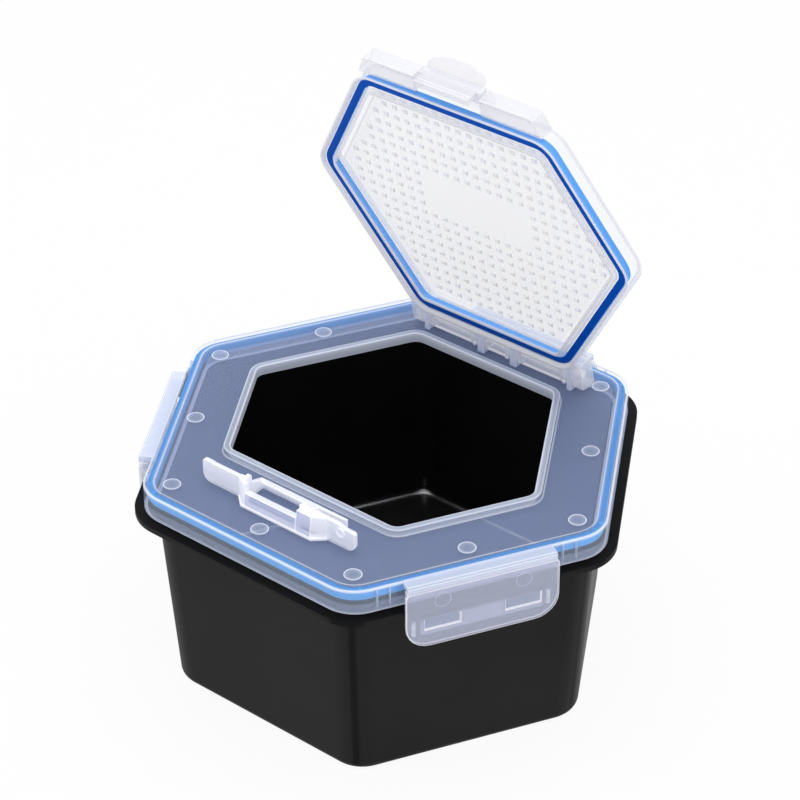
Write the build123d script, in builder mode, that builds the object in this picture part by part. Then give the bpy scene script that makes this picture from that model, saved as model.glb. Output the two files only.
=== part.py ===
from build123d import *
from math import cos, radians, sin, tan
import os

# Six-sided bait box. +Z is up, and the origin is the middle of the tub's underside.
# One corner of the hexagon points along +X and the hatch hinge is on the +Y side.

# Tub
flange_top = 70.0           # height of the tub's flange, where the lid comes down
base_flats = 131.6          # across the flats of the tub's underside
wall = 2.0                  # tub wall
floor_thickness = 2.5
foot_radius = 3.0           # outer edge of the underside
floor_radius = 3.0          # inner edge of the floor
tub_corner = 12.0           # outer corner of the tub wall, seen from above
flange_thickness = 2.1
flange_reach = 3.1          # flange past the lid's skirt
seal_rib = 1.5              # upstand that presses on the lid's gasket
rail_reach = 1.6            # catch rail past the lid's skirt
rail_depth = 5.0            # catch rail below the flange's top
rail_width = 47.0

# Main lid
lid_flats = 147.2           # across the flats of the lid's skirt
lid_corner = 13.0
skirt_height = 8.7
skirt_wall = 1.2
skirt_gap = 0.3             # skirt above the flange
roof = 0.9                  # roof of the gasket channel
channel_width = 2.5
inner_flange_wall = 1.5
inner_flange_height = 6.2
plate_drop = 0.4            # lid's plate below its outer ledge
plate_thickness = 1.4
ledge_round = 0.6
mark_radius = 2.85          # ejector marks in the plate
mark_depth = 0.15
mark_side_apothem = 64.5
mark_corner_distance = 74.0

# Gaskets
gasket_height = 3.3
gasket_clearance = 0.1      # gasket to the sides of its channel
seal_gap = 0.3              # unpressed gasket to the rib that seals on it
rib_clearance = 0.5         # tub's upstand to the sides of the lid's channel
step_gap = 0.8              # tub's inner step below the lid's inner flange

# Round opening in the lid, six-sided, with its front side further in
opening_apothem = 49.5
opening_front = 40.1
opening_corner = 4.0
rim_wall = 2.4
rim_height = 1.8            # rim above the lid's ledge

# Side latches
hinge_bar_width = 48.9
hinge_bar_rise = 0.3        # bar above the lid's ledge
hinge_bar_reach = 4.4       # bar past the skirt
hinge_bar_height = 2.1
film_gap = 0.6              # between the bar and the flap
flap_width = 50.4
flap_bottom = 23.4          # below the lid's ledge
flap_thickness = 1.3
flap_corner = 8.0
flap_band_height = 2.6
flap_band_depth = 3.2
flap_clearance = 0.5        # flap's side to the flange beside it
hook_depth = 1.2
hook_height = 5.1
hook_gap = 0.5              # hook below the catch rail
hook_width = 40.0
flap_rib_spacing = 44.4
flap_rib_width = 1.2
recess_spacing = 26.6       # between the middles of a flap's two recesses
recess_length = 12.2
recess_height = 4.4
recess_middle = 15.0        # below the lid's ledge
recess_bevel = 0.9
recess_depth = 0.7
recess_corner = 0.6

# Hatch, its hinge, and how far it stands open at rest
hatch_open = 76.4
hinge_y = 58.6
hinge_rise = 6.0            # hinge axis above the lid's ledge
hatch_wall = 1.7
hatch_wall_gap = 1.3        # hatch's outer wall to the lid's rim
hatch_wall_bevel = 0.9      # inside the wall's lower edge
hatch_skirt_rise = 0.9      # closed hatch's lower edge above the lid's ledge
hatch_height = 8.1
plug_wall = 1.2
plug_gap = 0.3              # hatch's plug wall inside the lid's rim
plug_shoulder = 1.2         # thicker root of the plug, above the lid's rim
panel_underside = 4.6       # above the hatch's lower edge
panel_thickness = 1.8
hatch_gasket_height = 3.0
hatch_edge_round = 1.2
hinge_pin_radius = 1.3
hinge_pin_clearance = 0.06
hinge_pin_end = 34.0
knuckle_reach = 5.4         # hinge knuckles past the hinge axis
knuckle_chamfer = 1.4
knuckle_drop = 3.4          # knuckles below the hinge axis
knuckle_middle = 10.0       # width of the middle knuckle
knuckle_long = 20.0         # width of the two long knuckles
knuckle_end = 4.5
lug_gap_inner = 3.5         # between the middle and the long knuckles
lug_gap_outer = 2.5         # between the long and the end knuckles
lug_clearance = 0.35        # lid's lugs to the knuckles beside them
lug_radius = 2.6
knuckle_slot = 2.4
knuckle_slot_depth = 0.9
knuckle_slot_corner = 0.8

# Ears on the hatch's front wall, and the latch that turns between them
latch_x = -2.0              # middle of the latch, to the left of the box's middle
hatch_latch_width = 24.2
ear_clearance = 0.7         # each end of the latch to the ear beside it
ear_inner = hatch_latch_width / 2 + ear_clearance
ear_outer = 32.6            # from the middle of the latch
ear_slant = 3.4
ear_reach = 5.9
ear_height = 5.9
hatch_latch_axis_out = 3.5  # latch axis in front of the hatch's wall
hatch_latch_axis_rise = 7.0 # above the lid's ledge, with the hatch closed
trunnion_radius = 1.0
trunnion_clearance = 0.05
trunnion_length = 3.0       # into each ear
barrel_radius = 1.9
latch_plate = 1.6
latch_plate_out = 1.6       # plate's inner face in front of the axis
latch_plate_drop = 6.2      # plate's end below the axis
latch_plate_width = 21.2
nose_width = 20.4
nose_reach = 1.25
nose_height = 0.9
tab_width = 22.4
tab_root_width = 18.4
tab_shoulder = 1.9          # where the tab is widest, out from its root
tab_corner_out = 4.3
tab_corner_width = 19.6
tab_length = 6.2
tab_thickness = 1.3
tab_angle = 36.0

# Keeper that the hatch's latch closes on
keeper_back = 46.9          # back wall's rear face, in front of the origin
keeper_back_wall = 1.1
keeper_back_height = 3.2
keeper_bead = 1.0
keeper_bead_height = 0.9
keeper_window = 7.3         # bead to the front wall
keeper_window_width = 21.8
keeper_front_wall = 3.0
keeper_front_height = 5.1   # front wall between the cheeks
keeper_draft = 5.0          # slope of the body's sides, in degrees
keeper_front_left = -12.0   # ends of the front face
keeper_front_right = 16.2
keeper_corner = 3.8         # slanted corners beside the front face
keeper_cheek = 1.5          # side walls of the window
keeper_cheek_height = 5.0   # cheeks under the latch's head
latch_head_clearance = 0.7  # latch's head to the tall part of the cheeks
keeper_bar_end = 21.0
keeper_lip = 0.5            # lip round the keeper's foot
keeper_lip_height = 0.9
wing_tip = 31.0
wing_thickness = 1.6
wing_setback = 3.3          # wings behind the box's front face
wing_height = 8.3
wing_corner = 3.0
wing_ring = 24.6            # ring on the right wing, from the box's middle
wing_ring_height = 5.6
wing_ring_radius = 1.7
wing_ring_rise = 0.4
wing_ring_wall = 0.5

# Heights and apothems that follow from the sizes above
lid_apothem = lid_flats / 2
ledge = flange_top + skirt_gap + skirt_height
channel_outer = lid_apothem - skirt_wall
channel_inner = channel_outer - channel_width
flange_inner = channel_inner - inner_flange_wall
plate_top = ledge - plate_drop
plate_bottom = plate_top - plate_thickness
gasket_top = ledge - roof
gasket_bottom = gasket_top - gasket_height
rib_top = gasket_bottom - seal_gap
rib_outer = channel_outer - rib_clearance
rib_inner = rib_outer - seal_rib
step_top = ledge - inner_flange_height - step_gap
cavity_top = flange_inner - rib_clearance
flange_apothem = lid_apothem + flange_reach
flange_bottom = flange_top - flange_thickness
rail_bottom = flange_top - rail_depth
cutback_width = flap_width + 2 * flap_clearance

film_axis = ledge + hinge_bar_rise - hinge_bar_height - film_gap / 2
flap_top = film_axis - film_gap / 2
flap_inner = hinge_bar_reach - flap_thickness
hook_top = rail_bottom - hook_gap

rim_outer = opening_apothem + rim_wall
front_offset = opening_front - opening_apothem
plug_outer = opening_apothem - plug_gap
plug_inner = plug_outer - plug_wall
shoulder_outer = plug_outer + plug_shoulder
hatch_channel = rim_outer + hatch_wall_gap
hatch_apothem = hatch_channel + hatch_wall
hinge_z = ledge + hinge_rise
hatch_low = hatch_skirt_rise - hinge_rise
hatch_top = hatch_low + hatch_height
hatch_gasket_low = rim_height + seal_gap - hinge_rise
latch_y = hatch_apothem + front_offset + hatch_latch_axis_out
latch_w = hatch_latch_axis_rise - hinge_rise


def corner_points(apothem, shift=0.0):
    """Corners of a hexagon whose -Y side is moved out by shift."""
    tip = apothem / cos(radians(30))
    half = apothem * tan(radians(30))
    front = apothem + shift
    front_half = tip - front * tan(radians(30))
    return [
        (tip, 0), (half, apothem), (-half, apothem),
        (-tip, 0), (-front_half, -front), (front_half, -front),
    ]


def hexagon(apothem, corner, shift=0.0):
    """Rounded hexagon as a sketch."""
    with BuildSketch() as outline:
        with BuildLine():
            Polyline(*corner_points(apothem, shift), close=True)
        make_face()
        fillet(outline.vertices(), corner)
    return outline.sketch


def lid_hexagon(apothem):
    """Hexagon concentric with the lid's skirt."""
    return hexagon(apothem, lid_corner - (lid_apothem - apothem))


def opening_hexagon(apothem):
    """Hexagon concentric with the lid's opening."""
    return hexagon(apothem, opening_corner + (apothem - opening_apothem), front_offset)


def side_plane(angle, height):
    """Level plane at a lid side: x along the side, y outwards."""
    outward = (cos(radians(angle)), sin(radians(angle)))
    return Plane(
        origin=(lid_apothem * outward[0], lid_apothem * outward[1], height),
        x_dir=(outward[1], -outward[0], 0), z_dir=(0, 0, 1),
    )


def profile_plane(angle):
    """Upright plane across a lid side: x outwards, y up."""
    outward = (cos(radians(angle)), sin(radians(angle)))
    return Plane(
        origin=(lid_apothem * outward[0], lid_apothem * outward[1], 0),
        x_dir=(outward[0], outward[1], 0), z_dir=(outward[1], -outward[0], 0),
    )


def face_plane(angle, reach):
    """Upright plane that faces outwards: x along the side, y up."""
    outward = (cos(radians(angle)), sin(radians(angle)))
    distance = lid_apothem + reach
    return Plane(
        origin=(distance * outward[0], distance * outward[1], 0),
        x_dir=(-outward[1], outward[0], 0), z_dir=(outward[0], outward[1], 0),
    )


latch_sides = {"left_latch": 210, "right_latch": 330, "rear_latch": 90}

# Hatch frame: origin on the hinge axis, x along it, y towards the rear, z out of the hatch's top
hatch_plane = Plane(
    origin=(0, hinge_y, hinge_z),
    x_dir=(1, 0, 0), z_dir=(0, sin(radians(hatch_open)), cos(radians(hatch_open))),
)
hatch_section = Plane(
    origin=hatch_plane.origin, x_dir=hatch_plane.y_dir, z_dir=hatch_plane.x_dir,
)

# Tub
with BuildPart() as tub:
    with BuildSketch(Plane.XY):
        add(hexagon(base_flats / 2, tub_corner))
    with BuildSketch(Plane.XY.offset(flange_top)):
        add(hexagon(cavity_top + wall, tub_corner))
    loft(ruled=True)
    fillet(tub.faces().sort_by(Axis.Z)[0].edges(), foot_radius)

    # Flange, cut back behind each latch, with a catch rail below it
    with BuildSketch(Plane.XY.offset(flange_bottom)):
        add(lid_hexagon(flange_apothem))
        for angle in latch_sides.values():
            with Locations(side_plane(angle, 0).location):
                with Locations((0, rail_reach + flange_reach)):
                    Rectangle(cutback_width, 2 * flange_reach, mode=Mode.SUBTRACT)
    extrude(amount=flange_thickness)
    for angle in latch_sides.values():
        with BuildSketch(side_plane(angle, rail_bottom)):
            with Locations((0, rail_reach / 2)):
                Rectangle(rail_width, rail_reach)
        extrude(amount=rail_depth)

    # Upstand for the lid's gasket
    with BuildSketch(Plane.XY.offset(flange_top)):
        add(lid_hexagon(rib_outer))
    extrude(amount=rib_top - flange_top)
    with BuildSketch(Plane.XY.offset(step_top)):
        add(lid_hexagon(rib_inner))
    extrude(amount=rib_top - step_top, mode=Mode.SUBTRACT)

    # Cavity
    draft = (cavity_top + wall - base_flats / 2) / flange_top
    with BuildSketch(Plane.XY.offset(floor_thickness)):
        add(hexagon(base_flats / 2 - wall + draft * floor_thickness, tub_corner - wall))
    with BuildSketch(Plane.XY.offset(step_top)):
        add(hexagon(cavity_top, tub_corner - wall))
    loft(ruled=True, mode=Mode.SUBTRACT)
    floor_face = tub.faces(Select.LAST).sort_by(Axis.Z)[0]
    fillet(floor_face.outer_wire().edges(), floor_radius)

# Main lid
with BuildPart() as main_lid:
    with BuildSketch(Plane.XY.offset(ledge - skirt_height)):
        add(lid_hexagon(lid_apothem))
    extrude(amount=skirt_height)
    fillet(main_lid.faces().sort_by(Axis.Z)[-1].edges(), ledge_round)
    with BuildSketch(Plane.XY.offset(ledge - skirt_height)):
        add(lid_hexagon(channel_outer))
    extrude(amount=skirt_height - inner_flange_height, mode=Mode.SUBTRACT)
    with BuildSketch(Plane.XY.offset(ledge - inner_flange_height)):
        add(lid_hexagon(channel_outer))
        add(lid_hexagon(channel_inner), mode=Mode.SUBTRACT)
    extrude(amount=inner_flange_height - roof, mode=Mode.SUBTRACT)
    with BuildSketch(Plane.XY.offset(ledge - inner_flange_height)):
        add(lid_hexagon(flange_inner))
    extrude(amount=plate_bottom - (ledge - inner_flange_height), mode=Mode.SUBTRACT)
    with BuildSketch(Plane.XY.offset(plate_top)):
        add(lid_hexagon(channel_inner))
    extrude(amount=plate_drop, mode=Mode.SUBTRACT)

    # Rim and opening
    with BuildSketch(Plane.XY.offset(plate_bottom)):
        add(opening_hexagon(rim_outer))
    extrude(amount=ledge + rim_height - plate_bottom)
    with BuildSketch(Plane.XY.offset(plate_bottom)):
        add(opening_hexagon(opening_apothem))
    extrude(amount=ledge + rim_height - plate_bottom, mode=Mode.SUBTRACT)

    # Ejector marks
    with BuildSketch(Plane.XY.offset(plate_top)):
        with PolarLocations(mark_side_apothem, 6, start_angle=30):
            Circle(mark_radius)
        with PolarLocations(mark_corner_distance, 6):
            Circle(mark_radius)
    extrude(amount=-mark_depth, mode=Mode.SUBTRACT)

    # Hinge bar of each side latch
    for angle in latch_sides.values():
        with BuildSketch(profile_plane(angle)):
            with BuildLine():
                Polyline(
                    (-skirt_wall / 2, film_axis + film_gap / 2),
                    (hinge_bar_reach, film_axis + film_gap / 2),
                    (hinge_bar_reach, ledge - hinge_bar_rise),
                    (hinge_bar_reach - 2 * hinge_bar_rise, ledge + hinge_bar_rise),
                    (-skirt_wall / 2, ledge + hinge_bar_rise),
                    close=True,
                )
            make_face()
        extrude(amount=hinge_bar_width / 2, both=True)

    # Lugs that hold the hatch's hinge pin
    lug_inner_x = knuckle_middle / 2 + lug_gap_inner / 2
    lug_outer_x = knuckle_middle / 2 + lug_gap_inner + knuckle_long + lug_gap_outer / 2
    for middle, gap in ((lug_inner_x, lug_gap_inner), (lug_outer_x, lug_gap_outer)):
        thickness = gap - 2 * lug_clearance
        for side in (-1, 1):
            with BuildSketch(Plane.YZ.offset(side * middle - thickness / 2)):
                with Locations((hinge_y, hinge_z)):
                    Circle(lug_radius)
                with Locations((hinge_y, (hinge_z + plate_bottom) / 2)):
                    Rectangle(2 * lug_radius, hinge_z - plate_bottom)
                with Locations((hinge_y, hinge_z)):
                    Circle(hinge_pin_radius, mode=Mode.SUBTRACT)
            extrude(amount=thickness)

# Gasket in the lid
with BuildPart() as lid_gasket:
    with BuildSketch(Plane.XY.offset(gasket_bottom)):
        add(lid_hexagon(channel_outer - gasket_clearance))
        add(lid_hexagon(channel_inner + gasket_clearance), mode=Mode.SUBTRACT)
    extrude(amount=gasket_height)

# Side latches
flaps = {}
for name, angle in latch_sides.items():
    with BuildPart() as flap:
        flap_height = flap_top - (ledge - flap_bottom)
        with BuildSketch(face_plane(angle, flap_inner)) as outline:
            with Locations((0, flap_top - flap_height / 2)):
                Rectangle(flap_width, flap_height)
            fillet(outline.vertices().group_by(Axis.Y)[0], flap_corner)
        extrude(amount=flap_thickness)

        # Thick band below the hinge, and the hook that goes under the catch rail
        with BuildSketch(profile_plane(angle)):
            with BuildLine():
                Polyline(
                    (hinge_bar_reach - flap_band_depth, flap_top),
                    (flap_inner + flap_thickness / 2, flap_top),
                    (flap_inner + flap_thickness / 2, flap_top - flap_band_height),
                    (hinge_bar_reach - flap_band_depth, flap_top - flap_band_height),
                    close=True,
                )
            make_face()
        extrude(amount=hinge_bar_width / 2, both=True)
        with BuildSketch(profile_plane(angle)):
            with BuildLine():
                Polyline(
                    (flap_inner + flap_thickness / 2, hook_top),
                    (flap_inner - hook_depth, hook_top),
                    (flap_inner - hook_depth, hook_top - hook_height / 4),
                    (flap_inner, hook_top - hook_height),
                    (flap_inner + flap_thickness / 2, hook_top - hook_height),
                    close=True,
                )
            make_face()
        extrude(amount=hook_width / 2, both=True)

        # Upright ribs at the ends of the hook
        with BuildSketch(side_plane(angle, hook_top - hook_height)):
            for side in (-1, 1):
                with Locations((side * flap_rib_spacing / 2, flap_inner + (flap_thickness / 2 - hook_depth) / 2)):
                    Rectangle(flap_rib_width, hook_depth + flap_thickness / 2)
        extrude(amount=hook_height)

        # Two bevelled recesses in the outer face
        for inset, depth in ((0, recess_depth / 2), (recess_bevel, recess_depth)):
            with BuildSketch(face_plane(angle, hinge_bar_reach)):
                for side in (-1, 1):
                    with Locations((side * recess_spacing / 2, ledge - recess_middle)):
                        RectangleRounded(recess_length - 2 * inset, recess_height - 2 * inset, recess_corner)
            extrude(amount=-depth, mode=Mode.SUBTRACT)
    flaps[name] = flap.part

# Hatch
with BuildPart() as hatch:
    with BuildSketch(hatch_plane.offset(hatch_low)):
        with Locations((0, -hinge_y)):
            add(opening_hexagon(hatch_apothem))
    extrude(amount=hatch_height)
    hatch_up = Axis(hatch_plane.origin, hatch_plane.z_dir)
    fillet(hatch.faces().sort_by(hatch_up)[-1].edges(), hatch_edge_round)

    # Hinge knuckles
    long_x = knuckle_middle / 2 + lug_gap_inner + knuckle_long / 2
    end_x = knuckle_middle / 2 + lug_gap_inner + knuckle_long + lug_gap_outer + knuckle_end / 2
    wall_inside = hatch_apothem - hatch_wall / 2 - hinge_y
    for middle, width in ((0, knuckle_middle), (-long_x, knuckle_long), (long_x, knuckle_long),
                          (-end_x, knuckle_end), (end_x, knuckle_end)):
        root = wall_inside if abs(middle) < end_x else wall_inside - 2 * hatch_wall
        with BuildSketch(hatch_section.offset(middle - width / 2)):
            with BuildLine():
                Polyline(
                    (root, -knuckle_drop),
                    (knuckle_reach - knuckle_chamfer, -knuckle_drop),
                    (knuckle_reach, 0),
                    (knuckle_reach, hatch_top),
                    (root, hatch_top),
                    close=True,
                )
            make_face()
        extrude(amount=width)

    # Ears on the front wall
    ear_front = hatch_apothem + front_offset + ear_reach
    ear_back = hatch_apothem + front_offset - hatch_wall / 2
    with BuildSketch(hatch_plane.offset(hatch_top - ear_height)):
        for side in (-1, 1):
            with BuildLine():
                Polyline(
                    (latch_x + side * ear_inner, -ear_back - hinge_y),
                    (latch_x + side * ear_inner, -ear_front - hinge_y),
                    (latch_x + side * ear_outer, -ear_front - hinge_y),
                    (latch_x + side * (ear_outer + ear_slant), -ear_back - hinge_y),
                    close=True,
                )
            make_face()
    extrude(amount=ear_height)

    # Gasket channel round the stepped plug, and the two sides of the panel
    for low, high, inside in ((hatch_low, hatch_gasket_low, plug_outer),
                              (hatch_gasket_low, hatch_gasket_low + hatch_gasket_height, shoulder_outer)):
        with BuildSketch(hatch_plane.offset(low)):
            with Locations((0, -hinge_y)):
                add(opening_hexagon(hatch_channel))
                add(opening_hexagon(inside), mode=Mode.SUBTRACT)
        extrude(amount=high - low, mode=Mode.SUBTRACT)
    with BuildSketch(hatch_plane.offset(hatch_low)):
        with Locations((0, -hinge_y)):
            add(opening_hexagon(plug_inner))
    extrude(amount=panel_underside, mode=Mode.SUBTRACT)
    with BuildSketch(hatch_plane.offset(hatch_low)):
        with Locations((0, -hinge_y)):
            add(opening_hexagon(hatch_channel + hatch_wall_bevel))
            add(opening_hexagon(plug_outer), mode=Mode.SUBTRACT)
    extrude(amount=hatch_wall_bevel, taper=45, mode=Mode.SUBTRACT)
    with BuildSketch(hatch_plane.offset(hatch_low + panel_underside + panel_thickness)):
        with Locations((0, -hinge_y)):
            add(opening_hexagon(hatch_channel))
    extrude(amount=hatch_height - panel_underside - panel_thickness, mode=Mode.SUBTRACT)

    # Slots in the knuckles' lower faces
    with BuildSketch(hatch_plane.offset(-knuckle_drop)):
        for middle, width in ((0, knuckle_middle), (-long_x, knuckle_long), (long_x, knuckle_long)):
            with Locations((middle, -knuckle_slot / 2)):
                RectangleRounded(width - 2 * knuckle_slot, knuckle_slot, knuckle_slot_corner)
    extrude(amount=knuckle_slot_depth, mode=Mode.SUBTRACT)

    # Bores for the hinge pin and for the latch's trunnions
    with BuildSketch(hatch_section.offset(-hinge_pin_end - hinge_pin_clearance)):
        Circle(hinge_pin_radius + hinge_pin_clearance)
    extrude(amount=2 * (hinge_pin_end + hinge_pin_clearance), mode=Mode.SUBTRACT)
    bore_end = ear_inner + trunnion_length + lug_clearance
    with BuildSketch(hatch_section.offset(latch_x - bore_end)):
        with Locations((-latch_y - hinge_y, latch_w)):
            Circle(trunnion_radius + trunnion_clearance)
    extrude(amount=2 * bore_end, mode=Mode.SUBTRACT)

# Gasket in the hatch
with BuildPart() as hatch_gasket:
    with BuildSketch(hatch_plane.offset(hatch_gasket_low)):
        with Locations((0, -hinge_y)):
            add(opening_hexagon(hatch_channel - gasket_clearance))
            add(opening_hexagon(shoulder_outer + gasket_clearance), mode=Mode.SUBTRACT)
    extrude(amount=hatch_gasket_height)

# Hinge pin
with BuildPart() as hatch_hinge_pin:
    with BuildSketch(hatch_section.offset(-hinge_pin_end)):
        Circle(hinge_pin_radius)
    extrude(amount=2 * hinge_pin_end)

# Latch on the hatch
axis_p = -latch_y - hinge_y
plate_outer = axis_p - latch_plate_out - latch_plate
with BuildPart() as hatch_latch:
    with BuildSketch(hatch_section.offset(latch_x - hatch_latch_width / 2)):
        with Locations((axis_p, latch_w)):
            Circle(barrel_radius)
        with BuildLine():
            Polyline(
                (axis_p, latch_w + barrel_radius), (plate_outer, latch_w + barrel_radius),
                (plate_outer, latch_w - barrel_radius), (axis_p, latch_w - barrel_radius), close=True,
            )
        make_face()
    extrude(amount=hatch_latch_width)
    with BuildSketch(hatch_section.offset(latch_x - latch_plate_width / 2)):
        with BuildLine():
            Polyline(
                (plate_outer, latch_w), (plate_outer, latch_w - latch_plate_drop),
                (plate_outer + latch_plate, latch_w - latch_plate_drop), (plate_outer + latch_plate, latch_w),
                close=True,
            )
        make_face()
    extrude(amount=latch_plate_width)
    with BuildSketch(hatch_section.offset(latch_x - nose_width / 2)):
        nose_low = latch_w - latch_plate_drop
        nose_tip = axis_p - latch_plate_out + nose_reach
        with BuildLine():
            Polyline(
                (plate_outer + latch_plate / 2, nose_low), (plate_outer + latch_plate, nose_low),
                (nose_tip, nose_low + nose_height / 2), (nose_tip, nose_low + nose_height),
                (plate_outer + latch_plate / 2, nose_low + nose_height),
                close=True,
            )
        make_face()
    extrude(amount=nose_width)

    # Trunnions that turn in the ears
    with BuildSketch(hatch_section.offset(latch_x - ear_inner - trunnion_length)):
        with Locations((axis_p, latch_w)):
            Circle(trunnion_radius)
    extrude(amount=2 * (ear_inner + trunnion_length))

    # Finger tab, which slopes up as it goes out
    tab_root = hatch_plane.from_local_coords(
        Vector(latch_x, plate_outer + latch_plate / 2, latch_w + barrel_radius - tab_thickness))
    tab_plane = Plane(
        origin=tab_root, x_dir=(1, 0, 0),
        z_dir=(0, sin(radians(hatch_open + tab_angle)), cos(radians(hatch_open + tab_angle))),
    )
    with BuildSketch(tab_plane):
        with BuildLine():
            Polyline(
                (tab_corner_width / 2, -tab_corner_out), (tab_width / 2, -tab_shoulder),
                (tab_root_width / 2, 0), (-tab_root_width / 2, 0),
                (-tab_width / 2, -tab_shoulder), (-tab_corner_width / 2, -tab_corner_out),
            )
            ThreePointArc((-tab_corner_width / 2, -tab_corner_out), (0, -tab_length),
                          (tab_corner_width / 2, -tab_corner_out))
        make_face()
    extrude(amount=tab_thickness)

# Keeper
with BuildPart() as latch_keeper:
    box_front = keeper_back + keeper_back_wall + keeper_bead + keeper_window + keeper_front_wall
    wing_front = box_front - wing_setback
    wing_back = wing_front - wing_thickness
    window_half = keeper_window_width / 2
    box_left = keeper_front_left - keeper_corner
    box_right = keeper_front_right + keeper_corner

    # Body with slanted front corners, and the lip round its foot
    with BuildSketch(Plane.XY.offset(plate_top)) as foot:
        with BuildLine():
            Polyline(
                (box_left, -wing_back), (box_left, -wing_front), (keeper_front_left, -box_front),
                (keeper_front_right, -box_front), (box_right, -wing_front), (box_right, -wing_back),
                close=True,
            )
        make_face()
    extrude(amount=wing_height, taper=keeper_draft)
    with BuildSketch(Plane.XY.offset(plate_top)):
        offset(foot.sketch, amount=keeper_lip, kind=Kind.INTERSECTION)
    extrude(amount=keeper_lip_height)
    with BuildSketch(Plane.XY.offset(plate_top)):
        with Locations((latch_x, -box_front + keeper_front_wall + keeper_window / 2)):
            Rectangle(keeper_window_width, keeper_window)
    extrude(amount=wing_height, mode=Mode.SUBTRACT)
    with BuildSketch(Plane.XY.offset(plate_top + keeper_front_height)):
        with Locations((latch_x, -box_front + keeper_front_wall / 2)):
            Rectangle(keeper_window_width, keeper_front_wall)
    extrude(amount=wing_height - keeper_front_height, mode=Mode.SUBTRACT)

    # Back wall with its bead
    with BuildSketch(Plane.XY.offset(plate_top)):
        with BuildLine():
            bar_start = latch_x - window_half - keeper_cheek
            Polyline(
                (bar_start, -keeper_back), (keeper_bar_end, -keeper_back),
                (keeper_bar_end, -keeper_back - keeper_back_wall),
                (bar_start, -keeper_back - keeper_back_wall), close=True,
            )
        make_face()
    extrude(amount=keeper_back_height)
    with BuildSketch(Plane.XY.offset(plate_top + keeper_back_height - keeper_bead_height)):
        with Locations((latch_x, -keeper_back - (keeper_back_wall + keeper_bead) / 2)):
            Rectangle(keeper_window_width + keeper_cheek, keeper_back_wall + keeper_bead)
    extrude(amount=keeper_bead_height)

    # Cheeks beside the window, low under the latch's head and tall in front of it
    head_front = latch_y + latch_plate_out + latch_plate + latch_head_clearance
    for side in (-1, 1):
        middle = latch_x + side * (window_half + keeper_cheek / 2)
        with BuildSketch(Plane.YZ.offset(middle - keeper_cheek / 2)):
            with BuildLine():
                Polyline(
                    (-keeper_back, plate_top), (-keeper_back, plate_top + keeper_back_height),
                    (-head_front, plate_top + keeper_cheek_height), (-head_front, plate_top + wing_height),
                    (-wing_front, plate_top + wing_height), (-wing_front, plate_top), close=True,
                )
            make_face()
        extrude(amount=keeper_cheek)

    # Wings, and the small ring on the right one
    wing_roots = {-1: box_left, 1: latch_x + window_half}
    with BuildSketch(Plane.XZ.offset(wing_back)) as wings:
        for side, root in wing_roots.items():
            with Locations(((root + side * wing_tip) / 2, plate_top + wing_height / 2)):
                Rectangle(abs(side * wing_tip - root), wing_height)
        for tip in (wings.vertices().group_by(Axis.X)[0], wings.vertices().group_by(Axis.X)[-1]):
            fillet(tip.group_by(Axis.Y)[0], wing_corner)
    extrude(amount=wing_thickness)
    with BuildSketch(Plane.XZ.offset(wing_front)):
        with Locations((wing_ring, plate_top + wing_ring_height)):
            Circle(wing_ring_radius)
            Circle(wing_ring_radius - wing_ring_wall, mode=Mode.SUBTRACT)
    extrude(amount=wing_ring_rise)

os.makedirs("parts", exist_ok=True)
pieces = {
    "tub": tub.part, "main_lid": main_lid.part, "lid_gasket": lid_gasket.part,
    "latch_keeper": latch_keeper.part, "hatch": hatch.part, "hatch_gasket": hatch_gasket.part,
    "hatch_hinge_pin": hatch_hinge_pin.part, "hatch_latch": hatch_latch.part, **flaps,
}
for name, piece in pieces.items():
    piece.label = name
    export_step(piece, f"parts/{name}.step")
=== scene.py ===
from math import cos, pi, radians, sin, tan

import bmesh
import bpy
from mathutils import Matrix, Vector


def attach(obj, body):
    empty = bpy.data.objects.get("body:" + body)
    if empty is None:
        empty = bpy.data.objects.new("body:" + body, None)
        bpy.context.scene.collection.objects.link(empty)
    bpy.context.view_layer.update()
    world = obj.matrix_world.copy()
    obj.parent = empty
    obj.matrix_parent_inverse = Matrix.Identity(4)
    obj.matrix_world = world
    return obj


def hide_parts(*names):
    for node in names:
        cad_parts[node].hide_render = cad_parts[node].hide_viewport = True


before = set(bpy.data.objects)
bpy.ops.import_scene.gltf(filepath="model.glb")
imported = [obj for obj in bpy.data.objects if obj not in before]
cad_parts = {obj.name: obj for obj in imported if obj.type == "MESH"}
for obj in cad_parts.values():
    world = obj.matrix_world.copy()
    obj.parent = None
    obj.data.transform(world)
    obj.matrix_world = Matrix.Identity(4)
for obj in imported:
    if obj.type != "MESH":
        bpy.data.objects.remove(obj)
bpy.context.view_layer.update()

# Sizes in millimetres
LEDGE = 79.0                 # the lid's top ledge
PLATE = 78.6                 # the lid's plate, just below the ledge
LID = 73.6                   # from the middle to the lid's skirt
LID_CORNER = 13.0
OPENING = 49.5
OPENING_CORNER = 4.0
FRONT_SHIFT = -9.4           # the opening's front side is that much nearer
HATCH_OPEN = radians(76.4)
HINGE_Y, HINGE_Z = 58.6, 85.0
LATCH_X = -2.0               # middle of the hatch's latch
LATCH_Y, LATCH_Z = -49.0, 7.0    # its axis with the hatch closed, z from the ledge
LATCH_SIDES = {"left_latch": 210, "right_latch": 330, "rear_latch": 90}    # where each side faces, in degrees
WALL_LEAN = 0.0586           # the tub's wall goes out by this share of its height
CORNER_STEPS = 8
DOT_PITCH = 4.24
MARK_X, MARK_Z = 13.3, 64.0  # the recesses in a side latch

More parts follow.
